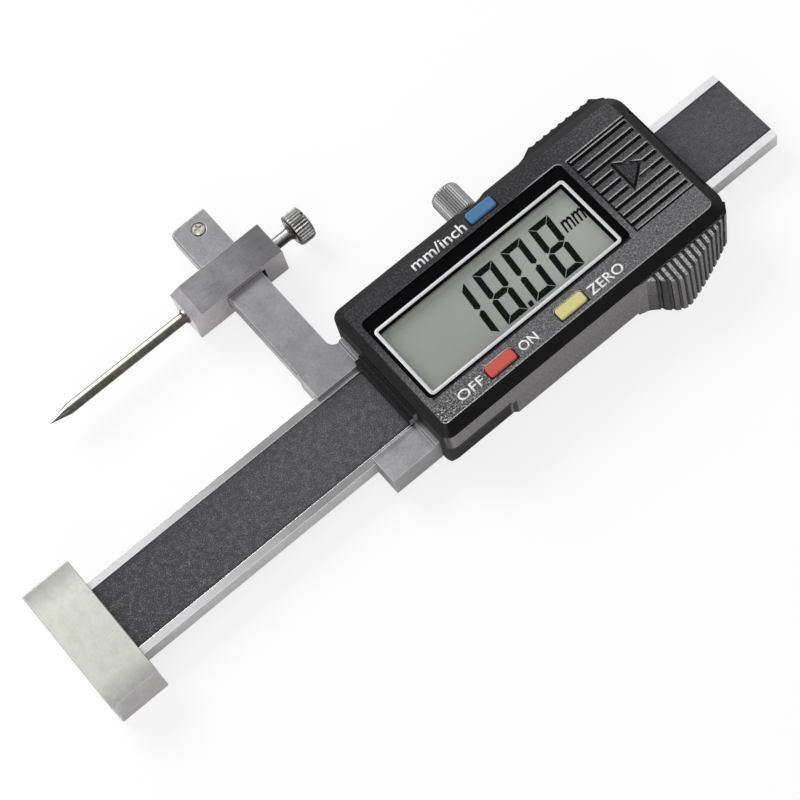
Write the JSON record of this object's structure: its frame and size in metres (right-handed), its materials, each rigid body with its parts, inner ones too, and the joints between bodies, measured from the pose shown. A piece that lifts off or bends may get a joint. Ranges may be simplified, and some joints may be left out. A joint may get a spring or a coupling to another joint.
{
  "type": "digital step gauge",
  "caption": "Digital step gauge: flat beam with a base at its end and a locking slider that carries a display, buttons and a side arm with an adjustable needle.",
  "frame": {"origin": "on the base's measuring face, on the beam's centre line and level with the beam's front", "axes": "+X along the beam away from the base, +Y toward the side arm, +Z out of the display"},
  "size_m": [0.1461, 0.0682, 0.0138],
  "materials": {
    "ground_steel": "ground satin",
    "beam_steel": "ground bright borders",
    "frame_steel": "blasted satin",
    "block_steel": "brushed",
    "needle_steel": "polished",
    "knob_steel": "knurled, nickel plated",
    "screw_steel": "plated",
    "black_screw_steel": "blackened",
    "brass": "turned",
    "gib_bronze": "rolled",
    "scale_film": "printed, fine speckle",
    "board_laminate": "coated",
    "housing_plastic": "moulded, fine grain",
    "lens_clear": "clear, dark printed border",
    "display": "grey-green",
    "connector_rubber": "layered",
    "chip_resin": "cast",
    "switch_metal": "stamped",
    "cell_steel": "plated",
    "contact_metal": "nickel plated",
    "button_blue": "satin",
    "button_red": "satin",
    "button_yellow": "satin"
  },
  "bodies": {
    "base": {"base_block": "ground_steel", "base_screws": "black_screw_steel", "beam": "beam_steel", "scale_film": "scale_film", "scale_board": "board_laminate", "beam_stop_screw": "screw_steel"},
    "slider": {"slider_frame": "frame_steel", "arm_stop_screw": "screw_steel", "gib_strip": "gib_bronze", "gib_screws": "black_screw_steel", "front_housing": "housing_plastic", "rear_housing": "housing_plastic", "housing_screws": "black_screw_steel", "window_lens": "lens_clear", "lcd_panel": "display", "zebra_strips": "connector_rubber", "main_board": "board_laminate", "sensor_board": "board_laminate", "controller_chip": "chip_resin", "tact_switches": "switch_metal", "battery": "cell_steel", "battery_contact_low": "contact_metal", "battery_contact_side": "contact_metal"},
    "carrier": {"carrier_block": "block_steel", "needle": "needle_steel"},
    "carrier_clamp": {"carrier_pad": "brass"},
    "carrier_thumb": {"carrier_screw": "knob_steel"},
    "lock_clamp": {"lock_pad": "brass"},
    "lock_thumb": {"lock_screw": "knob_steel"},
    "units_button": {"button_units": "button_blue"},
    "power_button": {"button_power": "button_red"},
    "zero_button": {"button_zero": "button_yellow"},
    "cover": {"battery_cover": "housing_plastic"}
  },
  "joints": [
    {"name": "slider_slide", "type": "slide", "parent": "base", "child": "slider", "axis": [1, 0, 0], "range_m": [-0.0484, 0.0158]},
    {"name": "carrier_slide", "type": "slide", "parent": "slider", "child": "carrier", "axis": [0, 1, 0], "range_m": [-0.0163, 0.0054]},
    {"name": "carrier_pad_slide", "type": "slide", "parent": "carrier", "child": "carrier_clamp", "axis": [1, 0, 0], "range_m": [0, 0.0005]},
    {"name": "carrier_screw_turn", "type": "hinge", "parent": "carrier_clamp", "child": "carrier_thumb", "pos_m": [0.0755, 0.03536, -0.00118], "axis": [1, 0, 0], "range_deg": [0, 360]},
    {"name": "lock_pad_slide", "type": "slide", "parent": "slider", "child": "lock_clamp", "axis": [0, 1, 0], "range_m": [0, 0.0005]},
    {"name": "lock_screw_turn", "type": "hinge", "parent": "lock_clamp", "child": "lock_thumb", "pos_m": [0.09805, 0.02, -0.00175], "axis": [0, 1, 0], "range_deg": [0, 360]},
    {"name": "units_press", "type": "slide", "parent": "slider", "child": "units_button", "axis": [0, 0, -1], "range_m": [0, 0.0004], "stiffness_N_per_m": 500},
    {"name": "power_press", "type": "slide", "parent": "slider", "child": "power_button", "axis": [0, 0, -1], "range_m": [0, 0.0004], "stiffness_N_per_m": 500},
    {"name": "zero_press", "type": "slide", "parent": "slider", "child": "zero_button", "axis": [0, 0, -1], "range_m": [0, 0.0004], "stiffness_N_per_m": 500},
    {"name": "cover_slide", "type": "slide", "parent": "slider", "child": "cover", "axis": [1, 0, 0], "range_m": [0, 0.013]}
  ],
  "couplings": [
    {"joint": "carrier_screw_turn", "follows": "carrier_pad_slide", "rad_per_m": 12566},
    {"joint": "lock_screw_turn", "follows": "lock_pad_slide", "rad_per_m": 12566}
  ]
}
